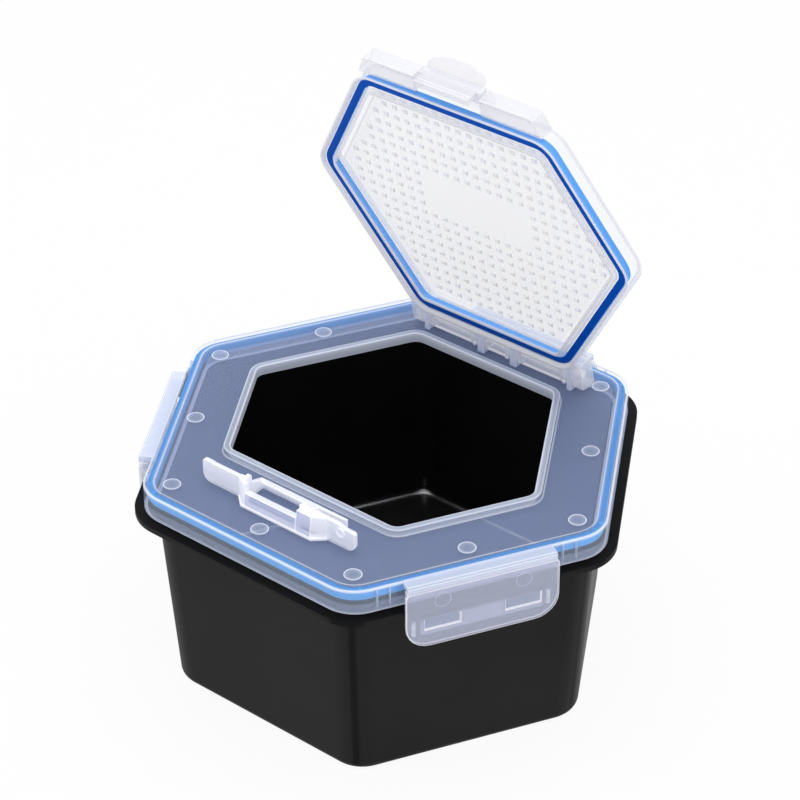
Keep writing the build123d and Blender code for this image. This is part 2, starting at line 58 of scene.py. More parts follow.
# Shader maths
class Value:
    """A shader socket that can stand in a sum."""

    def __init__(self, finish, socket):
        self.finish, self.socket = finish, socket

    def maths(self, operation, *values):
        return self.finish.node("ShaderNodeMath", {"operation": operation}, values)

    def __add__(self, other): return self.maths("ADD", self, other)
    def __sub__(self, other): return self.maths("SUBTRACT", self, other)
    def __rsub__(self, other): return self.maths("SUBTRACT", other, self)
    def __mul__(self, other): return self.maths("MULTIPLY", self, other)
    def __abs__(self): return self.maths("ABSOLUTE", self)
    def greatest(self, other): return self.maths("MAXIMUM", self, other)
    def least(self, other): return self.maths("MINIMUM", self, other)

    def ramp(self, low, high, start=0.0, end=1.0):
        """Eased step from start to end as the value goes from low to high."""
        return self.finish.node(
            "ShaderNodeMapRange", {"interpolation_type": "SMOOTHSTEP"},
            {"Value": self, "From Min": low, "From Max": high, "To Min": start, "To Max": end})


class Finish:
    """A material around one Principled shader."""

    def __init__(self, name, roughness=0.4, **constants):
        self.material = bpy.data.materials.new(name)
        self.material.use_nodes = True
        self.tree = self.material.node_tree
        self.shader = self.tree.nodes["Principled BSDF"]
        self.shader.inputs["Roughness"].default_value = roughness
        for key, value in constants.items():
            self.shader.inputs[key.replace("_", " ")].default_value = value

    def node(self, kind, settings=None, inputs=(), output=0):
        new = self.tree.nodes.new(kind)
        for key, value in (settings or {}).items():
            setattr(new, key, value)
        pairs = inputs.items() if isinstance(inputs, dict) else enumerate(inputs)
        for key, value in pairs:
            if isinstance(value, Value):
                self.tree.links.new(value.socket, new.inputs[key])
            else:
                new.inputs[key].default_value = value
        return Value(self, new.outputs[output])

    def place(self):
        """Position on the object, in metres."""
        return self.node("ShaderNodeTexCoord", output="Object")

    def noise(self, scale, detail=3.0):
        return self.node("ShaderNodeTexNoise", {}, {
            "Vector": self.place(), "Scale": scale, "Detail": detail, "Roughness": 0.5})

    def split(self, vector):
        """The three numbers of a vector."""
        parts = self.node("ShaderNodeSeparateXYZ", {}, {"Vector": vector})
        return [Value(self, parts.socket.node.outputs[index]) for index in range(3)]

    def mark(self, name):
        """A number that the mesh carries at its corners."""
        return self.node("ShaderNodeAttribute", {"attribute_name": name}, output="Fac")

    def blend(self, mask, first, second):
        return self.node("ShaderNodeMix", {"data_type": "RGBA"}, {0: mask, 6: first, 7: second}, output=2)

    def bump(self, height, strength, distance):
        return self.node("ShaderNodeBump", {}, {"Height": height, "Strength": strength, "Distance": distance})

    def set(self, key, value):
        self.tree.links.new(value.socket, self.shader.inputs[key])


def black_plastic():
    """Satin black; only the tub's outside, the flange's lip and the foot of its inside are glossy."""
    finish = Finish("black_plastic", 0.45, Specular_IOR_Level=0.06, Coat_Roughness=0.24, Coat_IOR=2.6)
    x, y, z = finish.split(finish.place())
    side = abs(y).greatest(abs(x) * cos(pi / 6) + abs(y) * 0.5)
    across = side - z * WALL_LEAN
    outside = across.ramp(0.0644, 0.0650)
    below = z.ramp(0.0676, 0.0680, 1.0, 0.0)
    lip = side.ramp(0.0762, 0.0765) * z.ramp(0.0697, 0.0699, 1.0, 0.0)
    foot = z.ramp(0.0060, 0.0100, 1.0, 0.0) * across.ramp(0.0620, 0.0630, 1.0, 0.0)
    cloud = finish.noise(18.0, 4.0)
    grain = finish.noise(900.0, 2.0)
    finish.set("Base Color", finish.blend(
        cloud.ramp(0.3, 0.7), (0.0030, 0.0030, 0.0032, 1), (0.0055, 0.0055, 0.0058, 1)))
    finish.set("Coat Weight", ((outside * below).greatest(lip) * (cloud * 0.025 + 0.030)).greatest(foot))
    finish.set("Roughness", cloud * 0.10 + 0.40)
    soft = finish.node("ShaderNodeBevel", {"samples": 4}, {"Radius": 0.0007})
    finish.set("Normal", finish.node("ShaderNodeBump", {}, {
        "Height": grain, "Strength": 0.04, "Distance": 0.0002, "Normal": soft}))
    return finish.material


def clear_plastic(name, body, edge, shade, alphas, roughness=0.22, painted_glow=0.0):
    """Translucent plastic: its faces, painted highlights along its edge lines, and painted shade in its recesses
    and corners; the shade mark also gives some faces a deeper tone, and its weak glow in its own tone is painted
    light standing in for light scattered inside it.
    """
    finish = Finish(name, roughness, Specular_IOR_Level=0.3, Emission_Strength=painted_glow)
    lit, dim = finish.mark("edge"), finish.mark("shade")
    haze = finish.noise(22.0, 3.0).ramp(0.2, 0.8)
    face = finish.blend(haze, body, [c * 1.04 for c in body[:3]] + [1])
    tone = finish.blend(dim, finish.blend(lit, face, edge), shade)
    finish.set("Base Color", tone)
    finish.set("Emission Color", tone)
    body_alpha, edge_alpha, shade_alpha = alphas
    alpha = lit * (edge_alpha - body_alpha) + body_alpha
    finish.set("Alpha", (alpha + dim * (shade_alpha - alpha)).least(1.0))
    finish.set("Roughness", haze * 0.08 + roughness)
    finish.set("Normal", finish.bump(finish.noise(500.0, 2.0), 0.02, 0.0002))
    return finish.material


def seal_rubber(name, side, face):
    """Blue seal: its sides in the channel are painted bright, standing in for light through the clear plastic over
    them; its open face is deeper blue.
    """
    finish = Finish(name, 0.5, Specular_IOR_Level=0.05)
    cloud = finish.noise(60.0, 3.0)
    tone = finish.blend(cloud.ramp(0.3, 0.7), side, [c * 1.05 for c in side[:3]] + [1])
    finish.set("Base Color", finish.blend(finish.mark("shade"), tone, face))
    finish.set("Roughness", cloud * 0.12 + 0.44)
    finish.set("Normal", finish.bump(finish.noise(1500.0, 2.0), 0.06, 0.0001))
    return finish.material


BLACK = black_plastic()
CLEAR = clear_plastic(
    "clear_lid", (0.62, 0.74, 0.95, 1), (0.85, 0.88, 1.0, 1), (0.47, 0.59, 0.96, 1),
    (0.09, 0.80, 0.20), 0.22, 0.04)
MILKY = clear_plastic(
    "milky_plastic", (0.90, 0.91, 0.98, 1), (0.97, 0.97, 1.0, 1), (0.36, 0.41, 0.66, 1),
    (0.50, 0.82, 0.50), 0.28, 0.14)
FLAP = clear_plastic(
    "latch_plastic", (0.67, 0.71, 0.90, 1), (0.95, 0.95, 1.0, 1), (0.34, 0.40, 0.55, 1),
    (0.35, 0.85, 0.60), 0.25, 0.05)
PANEL = clear_plastic(
    "hatch_plastic", (0.90, 0.90, 0.94, 1), (0.82, 0.82, 0.87, 1), (0.44, 0.43, 0.58, 1),
    (0.03, 0.85, 0.80), 0.25, 0.05)
# One blue rubber: its sides are painted lighter than its open face, standing in for light coming through the clear
# plastic, less so in the hatch; the lid's seal, kept as a solid, has no marks and takes the light side tone all
# over.
SEAL = seal_rubber("blue_seal", (0.08, 0.46, 1.0, 1), (0.0, 0.085, 0.52, 1))
LESS_LIT_SEAL = seal_rubber("hatch_blue_seal", (0.0, 0.33, 0.92, 1), (0.0, 0.085, 0.52, 1))

# Meshes


def hexagon_ring(apothem, corner, shift=0.0):
    """Points of a rounded hexagon whose front side is moved out by shift."""
    tip = apothem / cos(pi / 6)
    half = apothem * tan(pi / 6)
    front = apothem + shift
    front_half = tip - front * tan(pi / 6)
    corners = [(tip, 0), (half, apothem), (-half, apothem), (-tip, 0), (-front_half, -front), (front_half, -front)]
    points = []
    for index, (x, y) in enumerate(corners):
        px, py = corners[index - 1]
        qx, qy = corners[(index + 1) % 6]
        before = Vector((px - x, py - y)).normalized()
        after = Vector((qx - x, qy - y)).normalized()
        inward = (before + after).normalized()
        centre = Vector((x, y)) + inward * (corner / cos(pi / 6))
        start = Vector((x, y)) + before * (corner * tan(pi / 6)) - centre
        for step in range(CORNER_STEPS + 1):
            turn = Matrix.Rotation(pi / 3 * step / CORNER_STEPS, 2)
            points.append(centre + turn @ start)
    return points


def lid_ring(apothem):
    return hexagon_ring(apothem, max(LID_CORNER - (LID - apothem), 1.0))


def opening_ring(apothem):
    return hexagon_ring(apothem, max(OPENING_CORNER + apothem - OPENING, 1.0), FRONT_SHIFT)


def profile(ring, rows):
    """Rings for a skin from rows of apothem, height and marks."""
    return [(ring(apothem), z, *marks) for apothem, z, *marks in rows]


def hatch_place(x, p, w):
    """From the hatch's own frame (hinge axis at the origin) to where it stands open."""
    return Vector((x, HINGE_Y + p * cos(HATCH_OPEN) + w * sin(HATCH_OPEN),
                   HINGE_Z - p * sin(HATCH_OPEN) + w * cos(HATCH_OPEN)))


def straight(x, y, z):
    return Vector((x, y, z))


def hatch_closed(x, y, z):
    """A point of the closed hatch, with z from the lid's ledge, to where it stands open."""
    return hatch_place(x, y - HINGE_Y, z + LEDGE - HINGE_Z)


def side_place(angle):
    """Points given as along the side, out from the skirt, and height."""
    out = Vector((cos(radians(angle)), sin(radians(angle)), 0))
    along = Vector((-out.y, out.x, 0))
    return lambda v, u, z: out * (LID + u) + along * v + Vector((0, 0, z))


def arc(cx, cy, radius, start, end, steps=4):
    return [(cx + radius * cos(radians(start + (end - start) * i / steps)),
             cy + radius * sin(radians(start + (end - start) * i / steps))) for i in range(steps + 1)]


def along_x(a, b, level):
    return level, a, b


def along_y(a, b, level):
    return a, level, b


def out_and_up(a, b, level):
    """For a profile across a lid side: out from the skirt and up, extruded along the side."""
    return level, a, b


class Shape:
    """A mesh under construction, with marks for painted edge highlights and painted shade."""

    def __init__(self, place=straight):
        self.mesh = bmesh.new()
        self.edge = self.mesh.loops.layers.float.new("edge")
        self.shade = self.mesh.loops.layers.float.new("shade")
        self.place = place

    def point(self, x, y, z):
        return self.mesh.verts.new(self.place(x, y, z) / 1000)

    def skin(self, verts, edges, shades):
        face = self.mesh.faces.new(verts)
        for loop, edge, shade in zip(face.loops, edges, shades):
            loop[self.edge], loop[self.shade] = edge, shade
        return face

    def rings(self, rings, closed=True, cap=False):
        """Joins rings of points, each (points, height, edge mark) or with a shade mark too, into a skin."""
        rows = []
        for points, z, edge, *more in rings:
            rows.append(([self.point(p[0], p[1], z) for p in points], edge, more[0] if more else 0.0))
        pairs = list(zip(rows, rows[1:])) + ([(rows[-1], rows[0])] if closed else [])
        for (low, e0, s0), (high, e1, s1) in pairs:
            for index in range(len(low)):
                corners = (low[index - 1], low[index], high[index], high[index - 1])
                self.skin(corners, (e0, e0, e1, e1), (s0, s0, s1, s1))
        if cap:
            row, edge, shade = rows[-1]
            self.skin(row, [edge] * len(row), [shade] * len(row))

    def solid(self, outline, low, high, swap=lambda a, b, c: (a, b, c), edge=0.0, shade=0.0, line=1.0,
              round_by=0.3, cuts=(), sink=None, paint=None):
        """Extrudes an outline, rounds its edges, and sinks pockets in the faces that sink picks; the rounds and
        the pockets' sides get the line mark, a painted highlight.

        cuts are planes (point, normal) that divide the faces first; sink gives for a face's middle and
        normal the pocket's inset and depth, or None; paint gives its edge and shade marks, or None."""
        part = bmesh.new()
        rows = [[part.verts.new(swap(a, b, level)) for a, b in outline] for level in (low, high)]
        for index in range(len(outline)):
            part.faces.new((rows[0][index - 1], rows[0][index], rows[1][index], rows[1][index - 1]))
        part.faces.new(rows[0])
        part.faces.new(rows[1][::-1])
        bmesh.ops.recalc_face_normals(part, faces=part.faces)
        marks = {}
        if round_by:
            sharp = [e for e in part.edges if e.calc_face_angle(0) > 0.5]
            made = bmesh.ops.bevel(part, geom=sharp, offset=round_by, segments=2, profile=0.5, affect="EDGES",
                                   clamp_overlap=True)
            for face in made["faces"]:
                marks[face] = (line, 0.0)
        for point, normal in cuts:
            flat = [f for f in part.faces if f not in marks]
            inner = set(flat)
            parts = flat + [e for e in part.edges if inner.intersection(e.link_faces)] \
                + [v for v in part.verts if inner.intersection(v.link_faces)]
            bmesh.ops.bisect_plane(part, geom=parts, dist=1e-5, plane_co=point, plane_no=normal)
        if sink:
            for face in [f for f in part.faces if f not in marks]:
                pocket = sink(face.calc_center_median(), face.normal)
                if pocket:
                    inset, depth, floor_edge, floor_shade = pocket
                    made = bmesh.ops.inset_individual(part, faces=[face], thickness=inset, depth=-depth)
                    for side in made["faces"]:
                        marks[side] = (line, 0.0)
                    marks[face] = (floor_edge, floor_shade)
        seen = {}
        for face in part.faces:
            for vert in face.verts:
                if vert not in seen:
                    seen[vert] = self.point(*vert.co)
            painted = paint and paint(face.calc_center_median(), face.normal)
            here = marks.get(face) or painted or (edge, shade)
            count = len(face.verts)
            self.skin([seen[v] for v in face.verts], [here[0]] * count, [here[1]] * count)
        part.free()

    def ring_mark(self, x, z, y, radius, width=0.28, rise=0.05, edge=0.55):
        """A fine ring that stands proud of an upright face."""
        steps = 24
        turns = [2 * pi * i / steps for i in range(steps)]
        rows = [[self.point(x + r * cos(turn), y + h, z + r * sin(turn)) for turn in turns]
                for r, h in ((radius, -0.02), (radius, rise), (radius - width, rise), (radius - width, -0.02))]
        for low, high in zip(rows, rows[1:]):
            for i in range(steps):
                self.skin((low[i - 1], low[i], high[i], high[i - 1]), [edge] * 4, [0.0] * 4)

    def box(self, low, high, **options):
        outline = [(low[0], low[1]), (high[0], low[1]), (high[0], high[1]), (low[0], high[1])]
        self.solid(outline, low[2], high[2], **options)

    def finish(self, name, material, body, *nodes, smooth=40, slot=None):
        data = bpy.data.meshes.new(name)
        bmesh.ops.recalc_face_normals(self.mesh, faces=self.mesh.faces)
        self.mesh.to_mesh(data)
        self.mesh.free()
        piece = bpy.data.objects.new(name, data)
        bpy.context.scene.collection.objects.link(piece)
        data.materials.append(material)
        for face in data.polygons:
            face.use_smooth = True
        data.set_sharp_from_angle(angle=radians(smooth))
        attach(piece, body)
        if nodes:
            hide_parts(*nodes)
        return piece


# Main lid: skirt, gasket channel, plate and rim in one skin
lid = Shape()
# Edge marks paint highlights along its rounded edges, its fillets and the rim's inner wall; with the shade marks
# they also give the plate and the skirt's lower band a denser, deeper tone.
lid.rings(profile(lid_ring, (
    (72.4, 70.4, 0.3), (72.75, 70.15, 1.0), (73.3, 70.15, 1.0), (73.6, 70.4, 1.0), (73.6, 70.75, 0.6, 0.3),
    (73.6, 71.2, 0.5, 0.5), (73.6, 73.6, 0.45, 0.5), (73.6, 74.4, 0.0), (73.6, 78.0, 0.05),
    (73.6, 78.35, 0.5), (73.5, 78.7, 1.0), (73.3, 78.95, 1.0), (73.0, 79.0, 0.8), (72.7, 79.0, 0.1),
    (71.4, 79.0, 0.0), (70.6, 79.0, 0.18), (70.25, 79.0, 0.6), (70.05, 78.95, 1.0), (69.95, 78.8, 0.8),
    (69.85, 78.62, 0.5, 0.4), (69.5, 78.6, 0.35, 0.6), (68.6, 78.6, 0.14, 0.9), (67.2, 78.6, 0.0, 1.0),
)) + profile(opening_ring, (
    (52.9, 78.6, 0.0, 1.0), (52.5, 78.62, 0.35, 0.6), (52.1, 78.7, 0.9), (51.95, 78.9, 0.4),
    (51.9, 80.3, 0.25), (51.8, 80.6, 0.6), (51.6, 80.78, 0.9), (51.35, 80.8, 0.5), (50.6, 80.8, 0.38),
    (50.1, 80.8, 0.5), (49.85, 80.78, 0.9), (49.6, 80.65, 1.0), (49.5, 80.4, 0.85), (49.5, 79.4, 0.75),
    (49.5, 77.5, 0.75), (49.7, 77.2, 0.8), (50.3, 77.2, 0.2), (52.0, 77.2, 0.0, 1.0),
)) + profile(lid_ring, (
    (66.0, 77.2, 0.0, 1.0), (68.2, 77.2, 0.1, 1.0), (68.4, 77.0, 0.3), (68.4, 73.2, 0.05), (68.6, 72.85, 0.8),
    (69.7, 72.85, 0.8), (69.9, 73.1, 0.2), (69.9, 78.1, 0.05), (72.4, 78.1, 0.05),
)))

# Ejector marks: six along the sides and six in the corners, each a fine raised ring whose top is painted as a
# highlight
for number in range(6):
    for distance, turn in ((64.5, 30 + 60 * number), (74.0, 60 * number)):
        cx, cy = distance * cos(radians(turn)), distance * sin(radians(turn))
        ring = lambda radius: arc(cx, cy, radius, 0, 345, 23)
        lid.rings([(ring(2.95), PLATE, 0.6), (ring(2.85), PLATE + 0.12, 1.0), (ring(2.62), PLATE + 0.12, 1.0),
                   (ring(2.52), PLATE + 0.02, 0.35), (ring(1.2), PLATE + 0.02, 0.12)], closed=False, cap=True)

# Hinge bars of the side latches, and the short ribs beside them
for angle in LATCH_SIDES.values():
    lid.place = side_place(angle)
    lid.solid([(-0.6, 77.2), (4.0, 77.2), (4.4, 77.5), (4.4, 78.6), (3.7, 79.3), (-0.6, 79.3)],
              -24.45, 24.45, swap=out_and_up, edge=0.55, line=0.9, round_by=0.3)
    for v in (-32.7, -28.6, 28.2, 32.7):
        lid.box((v - 0.2, -1.2, 70.6), (v + 0.2, 0.0, 78.4), edge=0.5, round_by=0)

# Lugs that hold the pin of the hatch's hinge
lid.place = straight
for middle, width in ((6.75, 2.8), (29.75, 1.8)):
    for side in (-1, 1):
        outline = [(HINGE_Y - 2.6, PLATE - 0.4), (HINGE_Y - 2.6, 85.0)] + arc(HINGE_Y, 85.0, 2.6, 180, 0, 8)[1:] \
            + [(HINGE_Y + 2.6, PLATE - 0.4)]
        lid.solid(outline, side * middle - width / 2, side * middle + width / 2,
                  swap=along_x, edge=0.75, round_by=0.25)
lid.finish("lid_shell", CLEAR, "lid", "main_lid")

# Film hinges between the lid's bars and the side latches
for name, angle in LATCH_SIDES.items():
    film = Shape(side_place(angle))
    film.box((-24.3, 4.15, 76.5), (24.3, 4.38, 77.35), edge=0.3, round_by=0)
    film.finish("film_hinge_" + name.split("_")[0], FLAP, "lid", slot="clear_plastic")


# Side latches
def window(middle, normal):
    """The two bevelled recesses in a side latch's face, with painted shade on their floors and painted highlights
    on their sloped sides.
    """
    if normal.y > 0.9 and abs(abs(middle.x) - MARK_X) < 1.0 and abs(middle.z - MARK_Z) < 1.0:
        return 0.6, 0.62, 0.0, 0.75
    return None


for name, angle in LATCH_SIDES.items():
    flap = Shape(side_place(angle))
    top, low, half, corner = 76.6, 55.6, 25.2, 8.0
    outline = [(-half + 0.8, top), (-half, top - 1.0)] + arc(-half + corner, low + corner, corner, 180, 270, 6) \
        + arc(half - corner, low + corner, corner, 270, 360, 6) + [(half, top - 1.0), (half - 0.8, top)]
    cuts = [((x, 0, 0), (1, 0, 0)) for x in (-19.4, -7.2, 7.2, 19.4)] \
        + [((0, 0, z), (0, 0, 1)) for z in (61.8, 66.2)]
    flap.solid(outline, 3.1, 4.35, swap=along_y, round_by=0.3, cuts=cuts, sink=window)
    flap.box((-24.45, 1.2, 74.0), (24.45, 3.1, 76.6), edge=0.30, line=0.9, round_by=0.3)
    flap.solid([(3.2, 64.5), (1.9, 64.5), (1.9, 63.2), (3.0, 59.4), (3.2, 59.4)], -20, 20,
               swap=out_and_up, edge=0.12, line=0.35, round_by=0.15)
    for side in (-1, 1):
        flap.box((side * 22.2 - 0.6, 1.9, 59.4), (side * 22.2 + 0.6, 3.1, 64.5), edge=0.8, round_by=0.2)
        flap.ring_mark(side * MARK_X, LEDGE - 6.6, 4.35, 2.75, edge=0.2)
    flap.finish("flap_" + name, FLAP, name, name)


# Hatch
hatch = Shape(hatch_closed)
# Edge marks paint highlights along the hatch's rounded edges; shade marks paint shade into the corner where its
# inner wall meets the panel.
hatch.rings(profile(opening_ring, (
    (53.2, 7.3, 0.2), (53.2, 8.6, 0.5), (53.3, 8.9, 0.9), (53.6, 9.0, 0.6), (54.2, 9.0, 0.4),
    (54.6, 8.85, 0.8), (54.85, 8.4, 0.9), (54.9, 7.9, 0.25), (54.9, 5.3, 0.08), (54.9, 2.2, 0.0),
    (54.9, 1.35, 0.15), (54.8, 1.1, 0.9), (54.6, 0.95, 1.0), (54.3, 0.9, 1.0), (54.0, 1.0, 1.0),
    (53.3, 1.75, 1.0), (53.2, 1.95, 0.7), (53.2, 2.6, 0.1), (53.2, 5.1, 0.05), (50.4, 5.1, 0.05),
    (50.4, 2.15, 0.2), (50.1, 2.1, 0.9), (49.4, 2.1, 0.8), (49.25, 1.9, 0.4), (49.2, 1.2, 0.8),
    (49.05, 0.95, 1.0), (48.8, 0.9, 1.0), (48.4, 0.9, 0.8), (48.1, 1.0, 0.9), (48.0, 1.3, 0.35),
    (48.0, 2.0, 0.05), (48.0, 4.7, 0.05), (47.85, 5.1, 0.35, 0.25), (47.5, 5.4, 0.2, 0.35),
    (47.1, 5.5, 0.0, 0.12), (46.5, 5.5, 0.3), (40.0, 5.5, 0.3),
)), closed=False, cap=True)
hatch.rings(profile(opening_ring, (
    (53.2, 7.3, 0.2), (52.8, 7.3, 0.1), (40.0, 7.3, 0.1),
)), closed=False, cap=True)
bmesh.ops.remove_doubles(hatch.mesh, verts=hatch.mesh.verts, dist=1e-6)

# Dots on the panel's underside, with a plain rectangle left in the middle; each has painted shade on its face and
# on two of its sloped sides, and painted highlights on the other two
for row in range(20):
    y = -36.0 + DOT_PITCH * row
    for column in range(-12, 12):
        x = (column + 0.5) * DOT_PITCH
        blank = abs(x) < 21 and -8 < y < 8
        if blank or abs(x) * cos(pi / 6) + abs(y) * 0.5 > 45.6 or y > 45.0:
            continue
        square = ((-1, -1), (1, -1), (1, 1), (-1, 1))
        base = [hatch.point(x + a * 1.0, y + b * 0.92, 5.55) for a, b in square]
        face = [hatch.point(x + a * 0.62 - 0.1, y + b * 0.55 - 0.1, 5.12) for a, b in square]
        hatch.skin(face, [0.0] * 4, [0.34] * 4)
        for index, (edge, shade) in enumerate(((0.0, 0.80), (0.9, 0.0), (0.9, 0.0), (0.0, 0.80))):
            hatch.skin((base[index - 1], base[index], face[index], face[index - 1]), [edge] * 4, [shade] * 4)


def knuckle_pockets(middle, normal):
    """Slots in a knuckle's underside: their sides get painted highlights, the narrow slot's floor is painted pale
    as a highlight and the wide slot's floor gets a little painted shade.
    """
    if normal.z < -0.9 and 55.5 < middle.y < 58.0:
        return 0.45, 0.5, 0.85, 0.0
    if normal.z < -0.9 and 58.2 < middle.y < 62.2:
        return 0.5, 0.6, 0.05, 0.10
    return None


for middle, width in ((0, 10), (-18.5, 20), (18.5, 20), (-33.25, 4.5), (33.25, 4.5)):
    ends = (middle - width / 2, middle + width / 2)
    if abs(middle) < 30:
        outline = [(54.0, 2.6), (62.6, 2.6), (64.0, 6.0), (64.0, 9.0), (54.0, 9.0)]
        inner = 1.2 if width < 15 else 2.2
        cuts = [((x, 0, 0), (1, 0, 0)) for x in (ends[0] + inner, ends[1] - inner)] \
            + [((0, y, 0), (0, 1, 0)) for y in (55.6, 57.9, 58.3, 62.0)]
        between = lambda m, n: knuckle_pockets(m, n) if ends[0] + inner < m.x < ends[1] - inner else None
        hatch.solid(outline, *ends, swap=along_x, edge=0.5, line=0.9, round_by=0.4, cuts=cuts, sink=between)
        foot = ends[1] - 1.2
        hatch.box((foot, 61.2, 2.0), (foot + 1.2, 62.4, 2.8), edge=0.7, round_by=0.2)
    else:
        outline = [(51.9, 2.6), (62.6, 2.6), (64.0, 6.0), (64.0, 9.0), (51.9, 9.0)]
        hatch.solid(outline, *ends, swap=along_x, edge=0.45, line=0.9, round_by=0.4)

# Ears beside the hatch's latch
for side in (-1, 1):
    outline = [(LATCH_X + side * x, y) for x, y in (
        (12.8, -45.0), (12.8, -51.4), (32.2, -51.4), (33.2, -50.9), (36.0, -44.7))]
    hatch.solid(outline, 3.1, 9.0, edge=0.40, shade=0.10, line=0.8, round_by=0.45)
hatch.finish("hatch_shell", PANEL, "hatch", "hatch")

# Seal in the hatch: its open face is deeper blue than its sides, which are painted lighter as if lit through the
# plastic
seal = Shape(hatch_closed)
seal.rings(profile(opening_ring, (
    (53.05, 5.05, 0.0), (50.5, 5.05, 0.0), (50.5, 2.5, 0.0, 0.0), (50.55, 2.25, 0.0, 0.5),
    (50.7, 2.12, 0.0, 1.0), (51.8, 2.1, 0.0, 1.0), (52.85, 2.12, 0.0, 1.0), (53.0, 2.25, 0.0, 0.5),
    (53.05, 2.5, 0.0, 0.0),
)))
seal.finish("hatch_seal", LESS_LIT_SEAL, "hatch", "hatch_gasket")

# Latch on the hatch: head with its trunnions, plate with a nose, and the finger tab
clip = Shape(lambda x, y, z: hatch_closed(LATCH_X + x, LATCH_Y + y, LATCH_Z + z))
head = arc(0, 0, 1.9, 90, -90, 8) + [(-2.9, -1.9), (-3.2, -1.6), (-3.2, 1.5), (-2.8, 1.9)]
clip.solid(head, -12.1, 12.1, swap=along_x, edge=0.42, shade=0.08, line=0.7, round_by=0.3)
plate = [(-1.6, -1.0), (-1.6, -4.6), (-0.5, -5.6), (-0.8, -6.0), (-1.7, -6.2), (-3.0, -6.2), (-3.2, -6.0),
         (-3.2, -1.0)]
# The plate's outer face has a thin band painted as a highlight line.
clip.solid(plate, -10.6, 10.6, swap=along_x, edge=0.42, shade=0.08, line=0.7, round_by=0.22,
           cuts=[((0, 0, -4.7), (0, 0, 1)), ((0, 0, -4.4), (0, 0, 1))],
           paint=lambda m, n: (0.8, 0.0) if n.y < -0.9 and -4.7 < m.z < -4.4 else None)
clip.solid(arc(0, 0, 1.0, 0, 345, 23), -15.7, 15.7, swap=along_x, edge=0.4, line=0.6, round_by=0.15)
lean = radians(36.0)
clip.place = lambda x, y, z: hatch_closed(
    LATCH_X + x, LATCH_Y - 2.4 + y * cos(lean) + z * sin(lean), LATCH_Z + 0.6 - y * sin(lean) + z * cos(lean))
tab = [(9.2, 0.3), (10.9, -1.4), (11.2, -1.9), (11.1, -2.6), (9.8, -4.3)] \
    + [(x, -6.2 + 1.9 * (abs(x) / 9.8) ** 2.2) for x in (8.2, 6.2, 4.0, 1.6, -1.6, -4.0, -6.2, -8.2)] \
    + [(-9.8, -4.3), (-11.1, -2.6), (-11.2, -1.9), (-10.9, -1.4), (-9.2, 0.3)]
clip.solid(tab, 0.0, 1.3, edge=0.42, shade=0.08, line=0.6, round_by=0.3)
clip.finish("latch_clip", PANEL, "hatch_latch", "hatch_latch")

# Keeper on the lid: wings, a body with a window and a low front wall, cheeks, and a rear bar
keeper = Shape(lambda x, y, z: straight(x, y + max(0.0, min(1.0, (-56.4 - y) / 2.4)) * 0.14 * z, PLATE + z))


def painted_front_shade(middle, normal):
    """Painted shade on the faces that look to the front, standing in for the dark inside seen through the wall."""
    return (0.0, 0.9) if normal.y < -0.9 else None


left_wing = [(-14.5, 0.0), (-14.5, 8.0), (-26.6, 8.0), (-27.2, 8.25), (-30.2, 8.3), (-31.0, 7.5)] \
    + arc(-28.0, 3.0, 3.0, 180, 270, 5)
right_wing = [(9.5, 0.0)] + arc(28.0, 3.0, 3.0, 270, 360, 5) \
    + [(31.0, 6.8), (30.5, 7.3), (27.2, 7.4), (23.8, 8.3), (9.5, 8.3)]
for outline in (left_wing, right_wing):
    keeper.solid(outline, -56.0, -54.4, swap=along_y, edge=0.30, line=0.85, round_by=0.3)
keeper.solid([(-15.8, -54.4), (-15.8, -56.0), (-12.2, -59.2), (-11.2, -59.2), (-11.2, -56.5), (-12.9, -56.5),
              (-12.9, -54.4)],
             0.0, 8.2, edge=0.30, line=0.85, round_by=0.25)
keeper.solid([(-11.2, -56.3), (-11.2, -59.2), (9.6, -59.2), (9.6, -56.3)],
             0.0, 5.1, edge=0.25, line=0.85, round_by=0.22, paint=painted_front_shade)
keeper.solid([(8.9, -54.4), (8.9, -56.0), (9.6, -56.0), (9.6, -59.2), (15.6, -59.2), (19.6, -56.0), (19.6, -54.4)],
             0.0, 8.0, edge=0.25, line=0.85, round_by=0.25, paint=painted_front_shade)
keeper.solid([(-16.2, -54.2), (-16.2, -56.2), (-12.3, -59.7), (16.4, -59.7), (20.2, -56.3), (20.2, -54.2),
              (18.6, -54.2), (15.4, -57.0), (-11.5, -57.0), (-14.8, -54.2)],
             0.0, 0.9, edge=0.85, line=1.0, round_by=0.25)
for low, high in ((-14.4, -12.9), (8.9, 10.4)):
    cheek = [(-46.9, 0.0), (-46.9, 3.2), (-52.2, 5.0), (-52.8, 5.5), (-52.9, 7.9), (-53.3, 8.3), (-56.0, 8.3),
             (-56.0, 0.0)]
    keeper.solid(cheek, low, high, swap=along_x, edge=0.5, line=0.9, round_by=0.25)
keeper.solid([(-46.9, 0.0), (-46.9, 3.2), (-48.8, 3.2), (-49.0, 3.0), (-49.0, 2.35), (-48.0, 2.15), (-48.0, 0.0)],
             -13.4, 9.4, swap=along_x, edge=0.30, line=0.95, round_by=0.15)
keeper.solid([(-46.9, 0.0), (-46.9, 3.2), (-48.0, 3.2), (-48.0, 0.0)],
             9.4, 21.0, swap=along_x, edge=0.4, line=0.95, round_by=0.3)
keeper.ring_mark(25.6, 5.6, -56.4, 1.7, 0.5, 0.42, 0.5)
keeper.finish("keeper_shell", MILKY, "lid", "latch_keeper")

# Nodes that keep their solids
for name, material in (("tub", BLACK), ("lid_gasket", SEAL), ("hatch_hinge_pin", MILKY)):
    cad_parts[name].data.materials.clear()
    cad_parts[name].data.materials.append(material)


